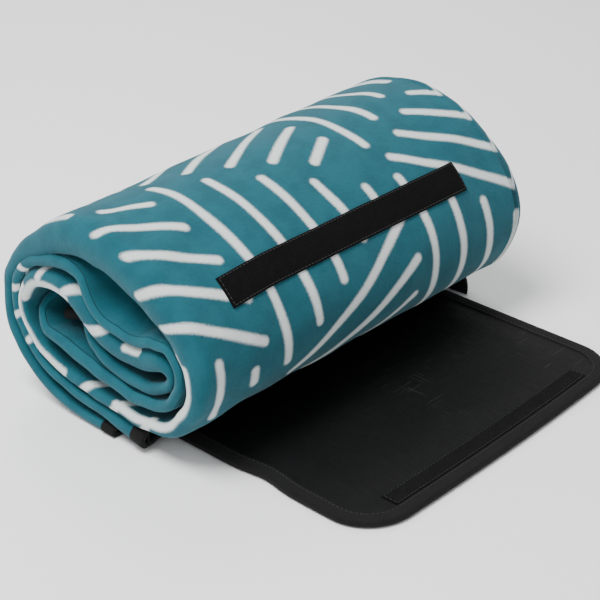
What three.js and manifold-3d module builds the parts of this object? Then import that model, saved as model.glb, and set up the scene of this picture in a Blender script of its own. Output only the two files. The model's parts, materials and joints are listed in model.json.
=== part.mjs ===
// Camp blanket: a padded fleece sheet folded in four across its width, rolled up, with a closing flap
// that lies open on the ground in front of the roll. Millimetres, +Z up, X along the roll's axis,
// the flap towards -Y. Origin: middle of the underside of the whole object.
import * as THREE from 'three';
import { mergeVertices } from 'three/addons/utils/BufferGeometryUtils.js';
import Module from 'manifold-3d';

const wasm = await Module();
wasm.setup();

// ---- driving dimensions -------------------------------------------------------------------------
// the sheet and its folds
const STRIP_WIDTH = 380; // the sheet folded in four, along the roll's axis
const FLEECE = 1.5;
const WADDING = 1.0;
const BACKING = 0.4;
const PLY_GAP = 0.3; // clearance between pieces that touch
const TAPE = 0.5; // binding tape thickness
const TAPE_WIDTH = 13; // how far the binding tape reaches in from an edge
const HEM_MARGIN = 10; // from the far fold's outside back to the two long hems
const OUTER_PAIR_STEP = 33; // how much shorter the outer fold pair ends than the inner one
const TURN_SPACING = 20.6; // the least spacing of the turns that ROLL_ROUTE was laid out for
const TURN_CLEARANCE = 0.9; // between turns

// the loop strip, sewn on the upper front of the roll
const LOOP_LENGTH = 269;
const LOOP_WIDTH = 25;
const LOOP_THICKNESS = 1.8;
const LOOP_CENTRE_X = -6;
const LOOP_ALONG_ROLL = 421; // from the sheet's outer end, over the top, to the strip's upper edge

// the closing flap
const FLAP_WIDTH = 336;
const FLAP_CENTRE_X = 12;
const FLAP_PANELS = [52, 28, 40, 36, 44.5]; // from the root to the front edge
const FLAP_CORNER = 42;
const FLAP_COVER = 0.6;
const FLAP_STIFFENER = 2.0;
const FLAP_LINING = 0.6;
const FLAP_HEIGHT = 2.0; // the cover's underside, above the handle webbing
const PANEL_GAP = 0.6;
const HOOK_INSET = 43; // from each side edge of the flap
const HOOK_LENGTH = FLAP_WIDTH - 2 * HOOK_INSET;
const HOOK_WIDTH = 16;
const HOOK_THICKNESS = 1.5;

// the carry handle, flat between the flap and the ground
const WEBBING_WIDTH = 38;
const WEBBING = 1.6;
const HANDLE_INSET = 18; // clear of the flap's side binding
const HANDLE_LENGTH = FLAP_WIDTH - 2 * HANDLE_INSET;
const HANDLE_SEWN_END = 40;
const HANDLE_PANEL = 2; // which panel carries it, counted from 0

// ---- derived sizes ------------------------------------------------------------------------------
const LAYER = FLEECE + WADDING + BACKING + 2 * PLY_GAP;
const INNER_GAP = 2 * TAPE + 3 * PLY_GAP; // room for two thicknesses of tape
const PAIR = 2 * LAYER + INNER_GAP; // one fold: fleece out, backing in
const STRIP = 2 * PAIR + INNER_GAP;
const HALF_STRIP = STRIP / 2;
const X_LEFT = -STRIP_WIDTH / 2;
const X_RIGHT = STRIP_WIDTH / 2;
const X_HEM = X_RIGHT - HEM_MARGIN;
const WRAP = PLY_GAP + TAPE; // how far a tape stands off the cloth that it binds
const ROLL_SCALE = (STRIP + TURN_CLEARANCE) / TURN_SPACING;
const GROUND_TO_STRIP = WRAP + 0.15; // the outer tape is the lowest part of the roll

// The middle of the four layers as it is rolled, seen along the axis: [Y, Z] from the roll's middle.
// It starts at the sheet's outer end under the front of the roll, runs back along the ground, up the
// back, over the top, down the front and in. The core is flattened, and the last stretch turns back.
const ROLL_ROUTE = [
  [-47, 0], [-5, 0], [20, 0], [42, 2], [62, 9], [84, 25], [98.5, 46], [103, 70], [99, 96], [88, 117], [72, 134],
  [52, 147.5], [27, 157.5], [0, 162.5], [-28, 158.5], [-54, 148], [-78, 132.5], [-96, 113], [-105, 92],
  [-105.5, 73], [-99, 53], [-85, 36.5], [-66, 26], [-45, 21.5], [-15, 21], [20, 22], [48, 27], [69, 39],
  [80, 57], [81.5, 77], [75, 96], [58, 107], [38, 105.5], [20, 95], [0, 84], [-20, 77], [-40, 75],
  [-57, 74.5], [-66.5, 70.5], [-70.5, 60.5], [-66.5, 50.5], [-57, 46.5], [-40, 46], [-20, 47], [0, 51],
  [16, 57], [30, 64], [43, 69], [56, 70],
];
// Under the top the inner fold pair sags away from the outer one.
const SAG_DEPTH = 30;
const SAG_MIDDLE = 395; // along the route
const SAG_REACH = 120;
const ROUTE_STEP = 2; // spacing of the fine points
const ROUTE_SOFTENING = 12; // rounds of averaging, for the cloth's stiffness
const STATION_TURN = THREE.MathUtils.degToRad(16); // a facet turns no more than this
const STATION_LENGTH = 60; // and is no longer than this

// ---- colours ------------------------------------------------------------------------------------
const TEAL = 0x2e7f8d;
const WHITE = 0xe4e6e0;
const GREY = 0x8b8f92;
const BLACK = 0x101112;
const SOFT_BLACK = 0x1d1f22;

function material(color, roughness, metalness = 0) {
  return new THREE.MeshStandardMaterial({ color, roughness, metalness });
}

// ---- solids -------------------------------------------------------------------------------------
function solid(geometry) {
  const bare = geometry.index ? geometry.toNonIndexed() : geometry.clone();
  bare.deleteAttribute('normal');
  bare.deleteAttribute('uv');
  const merged = mergeVertices(bare, 1e-5);
  return new wasm.Manifold(new wasm.Mesh({
    numProp: 3,
    vertProperties: new Float32Array(merged.attributes.position.array),
    triVerts: new Uint32Array(merged.index.array),
  }));
}

function meshOf(name, shape, look) {
  const { vertProperties, triVerts } = shape.getMesh();
  const geometry = new THREE.BufferGeometry();
  geometry.setAttribute('position', new THREE.BufferAttribute(vertProperties, 3));
  geometry.setIndex(new THREE.BufferAttribute(triVerts, 1));
  geometry.computeVertexNormals();
  const mesh = new THREE.Mesh(geometry, look);
  mesh.name = name;
  return mesh;
}

function slab(x, y, z) {
  const geometry = new THREE.BoxGeometry(x[1] - x[0], y[1] - y[0], z[1] - z[0]);
  geometry.translate((x[0] + x[1]) / 2, (y[0] + y[1]) / 2, (z[0] + z[1]) / 2);
  return geometry;
}

// Extrudes an outline drawn in Y and Z along X.
const SIDE_VIEW = new THREE.Matrix4().set(0, 0, 1, 0, 1, 0, 0, 0, 0, 1, 0, 0, 0, 0, 0, 1);

function sideExtrusion(outline, x) {
  const depth = x[1] - x[0];
  const geometry = new THREE.ExtrudeGeometry(new THREE.Shape(outline), { depth, bevelEnabled: false });
  geometry.applyMatrix4(SIDE_VIEW);
  geometry.translate(x[0], 0, 0);
  return geometry;
}

// ---- the rolled route ---------------------------------------------------------------------------
function softened(points) {
  let line = points;
  for (let round = 0; round < ROUTE_SOFTENING; round += 1) {
    const last = line;
    line = last.map((p, i) => {
      if (i === 0 || i === last.length - 1) return p;
      return p.clone().multiplyScalar(2).add(last[i - 1]).add(last[i + 1]).divideScalar(4);
    });
  }
  return line;
}

function finePoints() {
  const lift = GROUND_TO_STRIP + HALF_STRIP;
  const points = ROLL_ROUTE.map(([y, z]) => new THREE.Vector3(y * ROLL_SCALE, z * ROLL_SCALE + lift, 0));
  const curve = new THREE.CatmullRomCurve3(points, false, 'centripetal');
  curve.arcLengthDivisions = 4000;
  return softened(curve.getSpacedPoints(Math.round(curve.getLength() / ROUTE_STEP)));
}

// Facet corners along the route: place, distance from the outer end, and the mitred outward normal.
function routeStations() {
  const fine = finePoints();
  const heading = (a, b) => Math.atan2(b.y - a.y, b.x - a.x);
  const corners = [{ point: fine[0], along: 0 }];
  let along = 0;
  let lastAlong = 0;
  let turned = 0;
  for (let i = 1; i < fine.length; i += 1) {
    along += fine[i].distanceTo(fine[i - 1]);
    if (i < fine.length - 1) {
      const turn = heading(fine[i], fine[i + 1]) - heading(fine[i - 1], fine[i]);
      turned += Math.atan2(Math.sin(turn), Math.cos(turn));
    }
    const due = Math.abs(turned) >= STATION_TURN || along - lastAlong >= STATION_LENGTH;
    if (due || i === fine.length - 1) {
      corners.push({ point: fine[i], along });
      lastAlong = along;
      turned = 0;
    }
  }
  const outward = (a, b) => {
    const d = b.point.clone().sub(a.point).normalize();
    return new THREE.Vector3(d.y, -d.x, 0);
  };
  corners.forEach((corner, i) => {
    const before = i > 0 ? outward(corners[i - 1], corner) : outward(corner, corners[1]);
    const after = i < corners.length - 1 ? outward(corner, corners[i + 1]) : before;
    const mitre = before.clone().add(after);
    corner.normal = mitre.divideScalar(1 + before.dot(after));
  });
  return corners;
}

const STATIONS = routeStations();
const ROUTE_LENGTH = STATIONS[STATIONS.length - 1].along;

// How far the inner fold pair hangs away from the outer one.
function sagAt(along) {
  const offset = (along / ROLL_SCALE - SAG_MIDDLE) / SAG_REACH;
  return Math.abs(offset) < 1 ? SAG_DEPTH * Math.cos((offset * Math.PI) / 2) ** 2 : 0;
}

// A line that runs with the route, `depth` in from the strip's outer face.
function rail(depth, from, to) {
  const at = (station) => {
    const sag = depth > HALF_STRIP ? sagAt(station.along) : 0;
    return station.point.clone().addScaledVector(station.normal, HALF_STRIP - depth - sag);
  };
  const between = (along) => {
    const next = Math.min(Math.max(STATIONS.findIndex((s) => s.along > along), 1), STATIONS.length - 1);
    const i = along >= ROUTE_LENGTH ? STATIONS.length - 1 : next;
    const a = STATIONS[i - 1];
    const b = STATIONS[i];
    return at(a).lerp(at(b), (along - a.along) / (b.along - a.along));
  };
  const inside = STATIONS.filter((s) => s.along > from + 0.5 && s.along < to - 0.5).map(at);
  return [between(from), ...inside, between(to)].map((p) => new THREE.Vector2(p.x, p.y));
}

// A rolled band of cloth between two depths, two places along the axis and two along the route.
function band(depths, x, from, to) {
  const outline = [...rail(depths[0], from, to), ...rail(depths[1], from, to).reverse()];
  return solid(sideExtrusion(outline, x));
}

// ---- the blanket --------------------------------------------------------------------------------
// Everything that lies `inset` or more inside the fleece's face: two folds, joined past the hems.
function folded(inset, from, to) {
  const x = [X_LEFT + inset, X_RIGHT - inset];
  const block = band([inset, STRIP - inset], x, from, to);
  const gap = [PAIR - inset, PAIR + INNER_GAP + inset];
  return block.subtract(band(gap, [X_LEFT - 9, X_HEM], from - 3, to + 3));
}

// The stretch of the outer fold pair that the step at the outer end leaves out.
function stepRoom() {
  return band([-4, HALF_STRIP], [X_LEFT - 5, X_RIGHT + 5], -4, OUTER_PAIR_STEP);
}

function ply(inset, thickness) {
  const sheet = folded(inset, 0, ROUTE_LENGTH).subtract(folded(inset + thickness, -2, ROUTE_LENGTH + 2));
  return sheet.subtract(stepRoom());
}

// Tape over a cut end of the sheet: both faces and the edge. `sign` is 1 at the outer end, -1 in the core.
function endTape(at, sign) {
  const range = (a, b) => [Math.min(at + sign * a, at + sign * b), Math.max(at + sign * a, at + sign * b)];
  const whole = folded(-WRAP, ...range(-WRAP, TAPE_WIDTH));
  const pocket = folded(LAYER + WRAP, ...range(-WRAP - 2, TAPE_WIDTH + 2));
  const slot = folded(-PLY_GAP, ...range(-PLY_GAP, TAPE_WIDTH + 1));
  const slotCore = folded(LAYER + PLY_GAP, ...range(-PLY_GAP - 1, TAPE_WIDTH + 2));
  return whole.subtract(pocket).subtract(slot.subtract(slotCore));
}

function outerEndTapes() {
  const upper = [HALF_STRIP, STRIP + 5];
  const lower = [-5, HALF_STRIP - 0.05];
  const x = [X_LEFT - 5, X_RIGHT + 5];
  const inner = endTape(0, 1).intersect(band(upper, x, -4, TAPE_WIDTH + 5));
  const start = OUTER_PAIR_STEP;
  const outer = endTape(start, 1).intersect(band(lower, x, start - 4, start + TAPE_WIDTH + 5));
  return { inner, outer };
}

// Tape along a long hem. `depths` are the two faces of the layer that it binds.
function hemTape(depths) {
  const start = OUTER_PAIR_STEP + TAPE_WIDTH + 1;
  const end = ROUTE_LENGTH - TAPE_WIDTH - 1;
  const outside = [depths[0] - WRAP, depths[1] + WRAP];
  const slot = [depths[0] - PLY_GAP, depths[1] + PLY_GAP];
  const tape = band(outside, [X_HEM - TAPE_WIDTH, X_HEM + WRAP], start, end);
  return tape.subtract(band(slot, [X_HEM - TAPE_WIDTH - 2, X_HEM + PLY_GAP], start - 2, end + 2));
}

function blanketRoll() {
  const fleece = material(TEAL, 0.95);
  const tape = material(BLACK, 0.8);
  const ends = outerEndTapes();
  const insets = [0, FLEECE + PLY_GAP, FLEECE + WADDING + 2 * PLY_GAP];
  const group = new THREE.Group();
  group.add(
    meshOf('fleece_face', ply(insets[0], FLEECE), fleece),
    meshOf('wadding', ply(insets[1], WADDING), material(WHITE, 0.95)),
    meshOf('waterproof_backing', ply(insets[2], BACKING), material(GREY, 0.5)),
    meshOf('hem_binding_outer_pair', hemTape([PAIR - LAYER, PAIR]), tape),
    meshOf('hem_binding_inner_pair', hemTape([PAIR + INNER_GAP, PAIR + INNER_GAP + LAYER]), tape),
    meshOf('end_binding_outer_pair', ends.outer, tape),
    meshOf('end_binding_inner_pair', ends.inner, tape),
    meshOf('core_end_binding', endTape(ROUTE_LENGTH, -1), tape),
    loopStrip(),
  );
  return group;
}

function loopStrip() {
  const x = [LOOP_CENTRE_X - LOOP_LENGTH / 2, LOOP_CENTRE_X + LOOP_LENGTH / 2];
  const start = LOOP_ALONG_ROLL * ROLL_SCALE;
  const strip = band([-PLY_GAP - LOOP_THICKNESS, -PLY_GAP], x, start, start + LOOP_WIDTH);
  return meshOf('loop_strip', strip, material(BLACK, 0.9));
}

// ---- the flap -----------------------------------------------------------------------------------
const FLAP_X = [FLAP_CENTRE_X - FLAP_WIDTH / 2, FLAP_CENTRE_X + FLAP_WIDTH / 2];
const ROOT_Y = -47 * ROLL_SCALE - WRAP - PLY_GAP - PANEL_GAP; // the first hinge line
const COVER_Z = [FLAP_HEIGHT, FLAP_HEIGHT + FLAP_COVER];
const STIFFENER_Z = [COVER_Z[1] + PLY_GAP, COVER_Z[1] + PLY_GAP + FLAP_STIFFENER];
const LINING_Z = [STIFFENER_Z[1] + PLY_GAP, STIFFENER_Z[1] + PLY_GAP + FLAP_LINING];
const FLAP_SLOT_Z = [COVER_Z[0] - PLY_GAP, LINING_Z[1] + PLY_GAP];
const FLAP_BINDING_Z = [COVER_Z[0] - WRAP, LINING_Z[1] + WRAP];
const PLY_X = [FLAP_X[0] + WRAP, FLAP_X[1] - WRAP];

function flapLooks() {
  return {
    cover: material(SOFT_BLACK, 0.85),
    stiffener: material(GREY, 0.9),
    lining: material(SOFT_BLACK, 0.55),
    binding: material(BLACK, 0.8),
    webbing: material(BLACK, 0.75),
    hook: material(BLACK, 0.6),
  };
}

// The flap's root lies under the inner fold pair and steps down to the ground in front of it.
function flapRoot(looks) {
  const top = GROUND_TO_STRIP + PAIR + INNER_GAP - WRAP - PLY_GAP;
  const rise = top - LINING_Z[1];
  const back = ROOT_Y + OUTER_PAIR_STEP - 2 * PLY_GAP;
  const bent = (z) => [
    new THREE.Vector2(ROOT_Y + PANEL_GAP / 2, z[0]),
    new THREE.Vector2(ROOT_Y + 4, z[0]),
    new THREE.Vector2(ROOT_Y + 14, z[0] + rise),
    new THREE.Vector2(back, z[0] + rise),
    new THREE.Vector2(back, z[1] + rise),
    new THREE.Vector2(ROOT_Y + 13.8, z[1] + rise),
    new THREE.Vector2(ROOT_Y + 3.8, z[1]),
    new THREE.Vector2(ROOT_Y + PANEL_GAP / 2, z[1]),
  ].reverse();
  const piece = (name, z, look) => meshOf(name, solid(sideExtrusion(bent(z), PLY_X)), look);
  return [
    piece('flap_root_cover', COVER_Z, looks.cover),
    piece('flap_root_stiffener', STIFFENER_Z, looks.stiffener),
    piece('flap_root_lining', LINING_Z, looks.lining),
  ];
}

function panelY(i) {
  const before = FLAP_PANELS.slice(0, i).reduce((sum, length) => sum + length, 0);
  return [ROOT_Y - before - FLAP_PANELS[i] + PANEL_GAP / 2, ROOT_Y - before - PANEL_GAP / 2];
}

function straightPanel(i, looks) {
  const y = panelY(i);
  const name = (piece) => `${piece}_${i + 1}`;
  const piece = (label, z, look) => meshOf(name(label), solid(slab(PLY_X, y, z)), look);
  const binding = (label, x, slotX) => {
    const channel = solid(slab(x, y, FLAP_BINDING_Z));
    const slot = solid(slab(slotX, [y[0] - 1, y[1] + 1], FLAP_SLOT_Z));
    return meshOf(name(label), channel.subtract(slot), looks.binding);
  };
  const left = FLAP_X[0];
  const right = FLAP_X[1];
  return [
    piece('flap_cover', COVER_Z, looks.cover),
    piece('flap_stiffener', STIFFENER_Z, looks.stiffener),
    piece('flap_lining', LINING_Z, looks.lining),
    binding('flap_binding_left', [left, left + TAPE_WIDTH], [left + TAPE, left + TAPE_WIDTH + 1]),
    binding('flap_binding_right', [right - TAPE_WIDTH, right], [right - TAPE_WIDTH - 1, right - TAPE]),
  ];
}

// The front panel's outline with its two round corners, `inset` inside the flap's edge.
function frontOutline(inset, back) {
  const last = FLAP_PANELS.length - 1;
  const front = panelY(last)[0] - PANEL_GAP / 2 + inset;
  const radius = Math.max(FLAP_CORNER - inset, 1);
  const left = FLAP_X[0] + inset;
  const right = FLAP_X[1] - inset;
  const shape = new THREE.Shape();
  shape.moveTo(right, back);
  shape.lineTo(left, back);
  shape.lineTo(left, front + radius);
  shape.absarc(left + radius, front + radius, radius, Math.PI, 1.5 * Math.PI, false);
  shape.lineTo(right - radius, front);
  shape.absarc(right - radius, front + radius, radius, 1.5 * Math.PI, 2 * Math.PI, false);
  shape.closePath();
  return shape;
}

function frontPlate(inset, back, z) {
  const options = { depth: z[1] - z[0], bevelEnabled: false, curveSegments: 7 };
  const geometry = new THREE.ExtrudeGeometry(frontOutline(inset, back), options);
  geometry.translate(0, 0, z[0]);
  return solid(geometry);
}

function frontPanel(looks) {
  const last = FLAP_PANELS.length - 1;
  const [front, back] = panelY(last);
  const piece = (label, z, look) => meshOf(`${label}_${last + 1}`, frontPlate(WRAP, back, z), look);
  const rim = frontPlate(0, back, FLAP_BINDING_Z);
  const middle = frontPlate(TAPE_WIDTH, back + 2, [FLAP_BINDING_Z[0] - 1, FLAP_BINDING_Z[1] + 1]);
  const slot = frontPlate(TAPE, back + 1, FLAP_SLOT_Z);
  const hookFront = front - PANEL_GAP / 2 + TAPE_WIDTH + PLY_GAP;
  const hookX = [FLAP_CENTRE_X - HOOK_LENGTH / 2, FLAP_CENTRE_X + HOOK_LENGTH / 2];
  const hookZ = [LINING_Z[1] + PLY_GAP, LINING_Z[1] + PLY_GAP + HOOK_THICKNESS];
  return [
    piece('flap_cover', COVER_Z, looks.cover),
    piece('flap_stiffener', STIFFENER_Z, looks.stiffener),
    piece('flap_lining', LINING_Z, looks.lining),
    meshOf('flap_binding_front', rim.subtract(middle).subtract(slot), looks.binding),
    meshOf('hook_strip', solid(slab(hookX, [hookFront, hookFront + HOOK_WIDTH], hookZ)), looks.hook),
  ];
}

function handle(looks) {
  const [front, back] = panelY(HANDLE_PANEL);
  const middle = (front + back) / 2;
  const y = [middle - WEBBING_WIDTH / 2, middle + WEBBING_WIDTH / 2];
  const z = [COVER_Z[0] - PLY_GAP - WEBBING, COVER_Z[0] - PLY_GAP];
  const left = FLAP_CENTRE_X - HANDLE_LENGTH / 2;
  const right = FLAP_CENTRE_X + HANDLE_LENGTH / 2;
  const piece = (name, x) => meshOf(name, solid(slab(x, y, z)), looks.webbing);
  return [
    piece('handle_end_left', [left, left + HANDLE_SEWN_END]),
    piece('handle_end_right', [right - HANDLE_SEWN_END, right]),
    piece('handle_grip', [left + HANDLE_SEWN_END + PLY_GAP, right - HANDLE_SEWN_END - PLY_GAP]),
  ];
}

function closingFlap() {
  const looks = flapLooks();
  const group = new THREE.Group();
  group.add(...flapRoot(looks));
  for (let i = 0; i < FLAP_PANELS.length - 1; i += 1) group.add(...straightPanel(i, looks));
  group.add(...frontPanel(looks));
  group.add(...handle(looks));
  return group;
}

// ---- the whole object, with its origin in the middle of its underside ----------------------------
const campBlanket = new THREE.Group();
campBlanket.add(blanketRoll(), closingFlap());
const reach = new THREE.Box3().setFromObject(campBlanket);
const middle = reach.getCenter(new THREE.Vector3());
campBlanket.position.set(-middle.x, -middle.y, -reach.min.z);
campBlanket.updateMatrixWorld(true);

export default campBlanket;
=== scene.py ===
# %% [markdown]
# A picnic blanket for camping: printed fleece on one side, a waterproof back on the other, folded in four
# and rolled up. A padded flap is sewn under its outer end and lies open in front, ready to be closed.
# The frame below is the measured model: its bodies and joints say how the flap closes. Everything that
# shows is cloth, so nearly every solid of the frame gets a cloth piece that stands for it.

# %% Frame
import json
import math

import bpy
import numpy as np
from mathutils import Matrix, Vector


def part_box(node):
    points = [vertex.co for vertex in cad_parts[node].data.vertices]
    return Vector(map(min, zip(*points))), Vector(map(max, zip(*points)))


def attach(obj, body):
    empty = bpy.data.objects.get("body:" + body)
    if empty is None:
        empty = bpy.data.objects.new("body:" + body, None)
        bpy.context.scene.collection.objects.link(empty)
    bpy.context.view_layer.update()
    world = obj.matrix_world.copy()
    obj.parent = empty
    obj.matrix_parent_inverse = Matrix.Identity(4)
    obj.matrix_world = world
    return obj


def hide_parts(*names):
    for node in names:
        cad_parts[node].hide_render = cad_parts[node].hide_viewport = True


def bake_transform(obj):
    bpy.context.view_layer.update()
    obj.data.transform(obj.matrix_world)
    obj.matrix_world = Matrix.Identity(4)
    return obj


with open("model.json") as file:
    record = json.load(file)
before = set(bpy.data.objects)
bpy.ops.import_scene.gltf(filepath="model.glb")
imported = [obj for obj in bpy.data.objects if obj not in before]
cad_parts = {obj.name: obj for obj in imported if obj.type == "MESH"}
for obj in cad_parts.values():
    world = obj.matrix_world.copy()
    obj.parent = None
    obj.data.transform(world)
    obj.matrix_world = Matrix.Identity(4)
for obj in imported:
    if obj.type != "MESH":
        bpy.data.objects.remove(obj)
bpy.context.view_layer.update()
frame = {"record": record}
bpy.ops.object.select_all(action="DESELECT")
MM = 0.001

# %% [markdown]
# The camera stands at the near left end of the roll, above it, looking along it and down at the flap.
# It comes first, so that every later step can be looked at from the place that matters most.

# %% Camera
CAMERA_PLACE = Vector((-0.9485, -0.8304, 0.7750))
CAMERA_LOOK = Vector((0.644855, 0.588038, -0.488236))
CAMERA_LENS = 106.2

camera = bpy.data.objects.new("camera", bpy.data.cameras.new("camera"))
bpy.context.scene.collection.objects.link(camera)
camera.location = CAMERA_PLACE
camera.rotation_euler = CAMERA_LOOK.to_track_quat("-Z", "Y").to_euler()
camera.data.lens = CAMERA_LENS
bpy.context.scene.camera = camera
print("camera", round(CAMERA_PLACE.length, 2), "m from the roll")

# %% [markdown]
# Cloth pieces are grids: one direction follows the roll and the other runs across the cloth. A closed
# sheet is an outer grid and an inner grid joined round their edge, so it has real thickness and can be
# printed or cut. These helpers turn such grids into meshes and give each corner its place on the cloth.

# %% Mesh helpers
def grid_faces(rows, columns, offset=0, flip=False, wrap=False):
    """The quads of a grid of points, row by row. wrap joins the last column to the first."""
    r = np.arange(rows - 1)[:, None]
    c = np.arange(columns if wrap else columns - 1)[None, :]
    d = (c + 1) % columns
    here, ahead = r * columns, (r + 1) * columns
    quads = np.stack([here + c, here + d, ahead + d, ahead + c], axis=-1).reshape(-1, 4) + offset
    return quads[:, ::-1] if flip else quads


def rim_faces(rows, columns, offset):
    """Quads that join the edge of one grid to the edge of its twin, which starts at offset."""
    ring = list(range(columns))
    ring += [r * columns + columns - 1 for r in range(1, rows)]
    ring += [(rows - 1) * columns + c for c in range(columns - 2, -1, -1)]
    ring += [r * columns for r in range(rows - 2, 0, -1)]
    ring = np.array(ring)
    after = np.roll(ring, -1)
    return np.stack([after, ring, ring + offset, after + offset], axis=-1)


def signed_volume(points, faces):
    """Positive if the faces of a closed mesh point outwards."""
    total = 0.0
    for size in {len(face) for face in faces}:
        same = np.array([face for face in faces if len(face) == size])
        for i in range(1, size - 1):
            a, b, c = points[same[:, 0]], points[same[:, i]], points[same[:, i + 1]]
            total += float(np.einsum("ij,ij->i", a, np.cross(b, c)).sum())
    return total


SHARP = math.radians(55)  # edges that turn more than this stay crisp


def make_piece(name, points, faces, corner_uv):
    """A mesh object at the origin whose faces point outwards, with its cloth coordinates as a UV map."""
    points = np.asarray(points, float).reshape(-1, 3)
    faces = [list(map(int, face)) for face in faces]
    corner_uv = [list(corners) for corners in corner_uv]
    if signed_volume(points - points.mean(axis=0), faces) < 0:
        faces = [face[::-1] for face in faces]
        corner_uv = [corners[::-1] for corners in corner_uv]
    mesh = bpy.data.meshes.new(name)
    mesh.from_pydata(points.tolist(), [], faces)
    layer = mesh.uv_layers.new(name="cloth")
    layer.data.foreach_set("uv", np.array([uv for corners in corner_uv for uv in corners]).ravel())
    mesh.polygons.foreach_set("use_smooth", [True] * len(mesh.polygons))
    mesh.update()
    mesh.set_sharp_from_angle(angle=SHARP)
    piece = bpy.data.objects.new(name, mesh)
    bpy.context.scene.collection.objects.link(piece)
    return piece


def thick_sheet(name, outer, inner, uv):
    """A closed sheet between two grids of points of the same size."""
    rows, columns = outer.shape[:2]
    count = rows * columns
    faces = np.concatenate([
        grid_faces(rows, columns),
        grid_faces(rows, columns, offset=count, flip=True),
        rim_faces(rows, columns, count),
    ])
    points = np.concatenate([outer.reshape(-1, 3), inner.reshape(-1, 3)])
    both = np.concatenate([uv.reshape(-1, 2), uv.reshape(-1, 2)])
    return make_piece(name, points, faces, both[faces])


def band_piece(name, rings):
    """A closed band: the same closed outline repeated along a path, with a flat face at each end."""
    rings = np.asarray(rings, float)
    rows, columns = rings.shape[:2]
    run = np.concatenate([[0], np.cumsum(np.linalg.norm(np.diff(rings, axis=0), axis=2).mean(axis=1))])
    around = np.linalg.norm(np.roll(rings, -1, axis=1) - rings, axis=2).mean(axis=0)
    around = np.concatenate([[0], np.cumsum(around)])
    faces = grid_faces(rows, columns, wrap=True).tolist()
    corners = ((0, 0), (0, 1), (1, 1), (1, 0))
    uv = [[(run[r + i], around[c + j]) for i, j in corners] for r in range(rows - 1) for c in range(columns)]
    ends = [list(range(columns))[::-1], [(rows - 1) * columns + c for c in range(columns)]]
    end_uv = [[(run[at], around[i % columns]) for i in end] for at, end in zip((0, -1), ends)]
    return make_piece(name, rings.reshape(-1, 3), faces + ends, uv + end_uv)


def smoothstep(low, high, value):
    t = np.clip((value - low) / (high - low), 0, 1)
    return t * t * (3 - 2 * t)


print("helpers ready")

# %% [markdown]
# The sheet is folded with its long edges to the middle, back inside, and then in half. That gives two
# folds side by side at the near end, an outer pair and an inner pair of layers, and one big fold at the
# far end. The route is the middle of all four layers as the strip is rolled: along the ground, up the
# back, over, down the front and in again, then turned back in the core. Its points were chosen.

# %% Route of the roll
ROLL_BACK = 68.4  # the roll's own middle lies this far behind the frame's
STRIP_LIFT = 10.8  # the middle of the lowest layer above the ground
ROLL_ROUTE = [
    (-47, 0), (-5, 0), (20, 0), (42, 2), (62, 9), (84, 25), (98.5, 46), (103, 70), (99, 96), (88, 117),
    (72, 134), (52, 147.5), (27, 157.5), (0, 162.5), (-28, 158.5), (-54, 148), (-78, 132.5), (-96, 113),
    (-105, 92), (-105.5, 73), (-99, 53), (-85, 36.5), (-66, 26), (-45, 21.5), (-15, 21), (20, 22), (48, 27), (69, 39),
    (80, 57), (81.5, 77), (75, 96), (58, 107), (38, 105.5), (20, 95), (0, 84), (-20, 77), (-40, 75),
    (-57, 74.5), (-66.5, 70.5), (-70.5, 60.5), (-66.5, 50.5), (-57, 46.5), (-40, 46), (-20, 47), (0, 51),
    (16, 57), (30, 64), (43, 69), (56, 70),
]
PAIR_OFFSET = 5.4  # from the middle of the strip to the middle of a pair
PAIR_HALF = 4.45


def smooth_curve(knots, points, at):
    """A smooth curve through points that belong to knots, read off at other values."""
    knots = np.asarray(knots, float)
    points = np.asarray(points, float)
    slope = np.gradient(points, knots, axis=0)
    k = np.clip(np.searchsorted(knots, at, side="right") - 1, 0, len(knots) - 2)
    span = (knots[k + 1] - knots[k])[:, None]
    t = ((at - knots[k])[:, None]) / span
    a = (1 + 2 * t) * (1 - t) ** 2 * points[k] + t * t * (3 - 2 * t) * points[k + 1]
    return a + span * t * (1 - t) * ((1 - t) * slope[k] - t * slope[k + 1])


def outward_of(path, step):
    """The direction that points out of the roll at each point of a path."""
    d = np.gradient(path, step, axis=0)
    d /= np.linalg.norm(d, axis=1)[:, None]
    return np.stack([d[:, 1], -d[:, 0]], axis=1)


fine_index = np.linspace(0, len(ROLL_ROUTE) - 1, 4801)
fine_path = smooth_curve(np.arange(len(ROLL_ROUTE)), ROLL_ROUTE, fine_index)
fine_along = np.concatenate([[0], np.cumsum(np.linalg.norm(np.diff(fine_path, axis=0), axis=1))])
ROUTE_LENGTH = float(fine_along[-1])


def along_of(index):
    """How far along the route a point of the list lies; the index may fall between two points."""
    return np.interp(index, fine_index, fine_along)


ALONG = np.arange(0, ROUTE_LENGTH, 1.0)
ROUTE = np.stack([np.interp(ALONG, fine_along, fine_path[:, i]) for i in (0, 1)], axis=1)
ROUTE[:, 1] += STRIP_LIFT
OUTWARD = outward_of(ROUTE, 1.0)
print("the strip is", round(ROUTE_LENGTH), "mm long")

# %% [markdown]
# At the near end the two pairs don't keep to the route. The outer one puffs up over the top and front,
# the inner one drops away from it and is crumpled, and its last stretch hides deeper in the roll. Each
# row says which point of the route it lies beside, where the middle of the pair is, half its thickness
# and how far its fold stands back from the end.

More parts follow.
